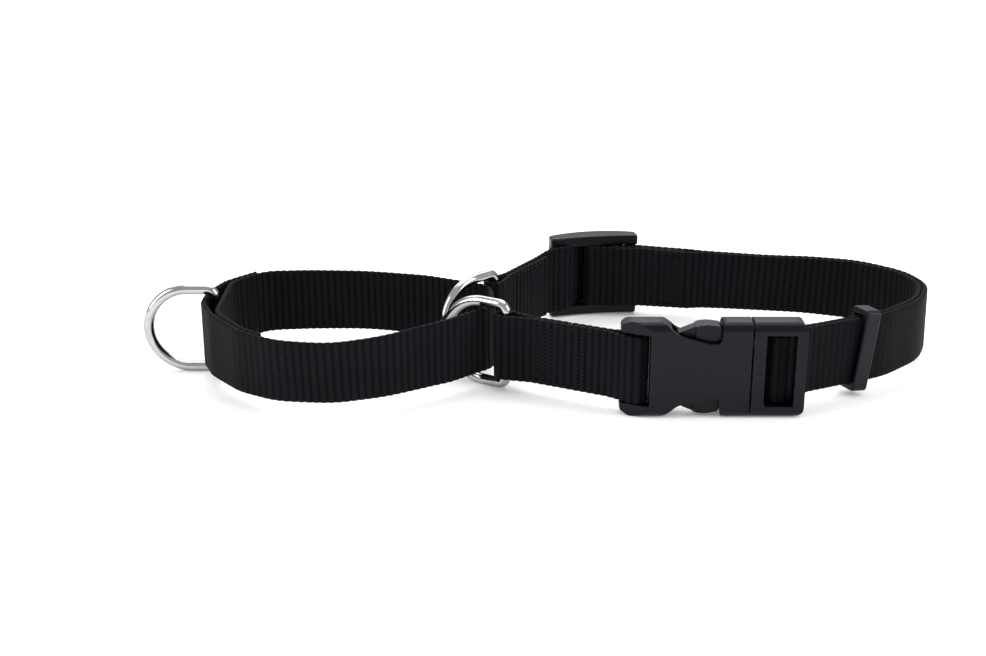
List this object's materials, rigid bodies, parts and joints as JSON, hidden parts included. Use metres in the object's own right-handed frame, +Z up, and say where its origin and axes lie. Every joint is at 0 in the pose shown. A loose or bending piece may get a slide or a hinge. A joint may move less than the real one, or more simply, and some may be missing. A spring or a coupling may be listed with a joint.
{
  "type": "martingale collar",
  "caption": "Adjustable webbing martingale collar with side-release buckle, tri-glide slider, keeper, connector rings and a control loop that ends in a leash ring.",
  "frame": {"origin": "centre of the footprint on the surface that the collar stands on", "axes": "+X from the leash ring to the far bend of the neck loop, -Y towards the buckle, +Z up across the webbing's width"},
  "size_m": [0.228, 0.0904, 0.027],
  "materials": {
    "black_webbing": "ribbed nylon webbing, matt with a slight sheen on the ribs",
    "black_thread": "bonded nylon sewing thread",
    "black_acetal": "fine-textured moulded plastic",
    "chrome_wire": "polished plated steel wire"
  },
  "bodies": {
    "collar": {"buckle_socket": "black_acetal", "front_strap": "black_webbing", "main_strap_ring_end": "black_webbing", "main_strap_slider_end": "black_webbing", "strap_slider": "black_acetal", "front_strap_stitching": "black_thread", "ring_end_stitching": "black_thread", "slider_end_stitching": "black_thread"},
    "front_ring": {"front_ring": "chrome_wire"},
    "rear_ring": {"rear_ring": "chrome_wire"},
    "control_loop": {"control_loop": "black_webbing", "control_loop_stitching": "black_thread"},
    "leash_ring": {"leash_ring": "chrome_wire"},
    "plug_and_band": {"buckle_plug": "black_acetal", "main_strap_buckle_band": "black_webbing"},
    "prong_upper": {"prong_upper": "black_acetal"},
    "prong_lower": {"prong_lower": "black_acetal"},
    "keeper": {"strap_keeper": "black_acetal"}
  },
  "joints": [
    {"name": "front_ring_swing", "type": "hinge", "parent": "collar", "child": "front_ring", "pos_m": [-0.01024, -0.02371, 0.0131], "axis": [0, 0, 1], "range_deg": [-6, 14]},
    {"name": "rear_ring_swing", "type": "hinge", "parent": "collar", "child": "rear_ring", "pos_m": [-0.01354, 0.00529, 0.0131], "axis": [0, 0, -1], "range_deg": [-4, 8]},
    {"name": "control_loop_pull", "type": "slide", "parent": "collar", "child": "control_loop", "axis": [-1, 0, 0], "range_m": [-0.0014, 0.0006]},
    {"name": "leash_ring_swing", "type": "hinge", "parent": "control_loop", "child": "leash_ring", "pos_m": [-0.09324, -0.00971, 0.0131], "axis": [0, 0, 1], "range_deg": [-70, 70]},
    {"name": "buckle_release", "type": "slide", "parent": "collar", "child": "plug_and_band", "axis": [1, 0, 0], "range_m": [0, 0.022], "deforming": ["prong_upper", "prong_lower"]},
    {"name": "prong_upper_squeeze", "type": "hinge", "parent": "plug_and_band", "child": "prong_upper", "pos_m": [0.05626, -0.04121, 0.0234], "axis": [0, -1, 0], "range_deg": [0, 7.5], "stiffness_Nm_per_rad": 0.05},
    {"name": "prong_lower_squeeze", "type": "hinge", "parent": "plug_and_band", "child": "prong_lower", "pos_m": [0.05626, -0.04121, 0.0036], "axis": [0, 1, 0], "range_deg": [0, 7.5], "stiffness_Nm_per_rad": 0.05},
    {"name": "keeper_slide", "type": "slide", "parent": "plug_and_band", "child": "keeper", "axis": [0.8997, 0.4365, 0], "range_m": [-0.012, 0.001]}
  ]
}
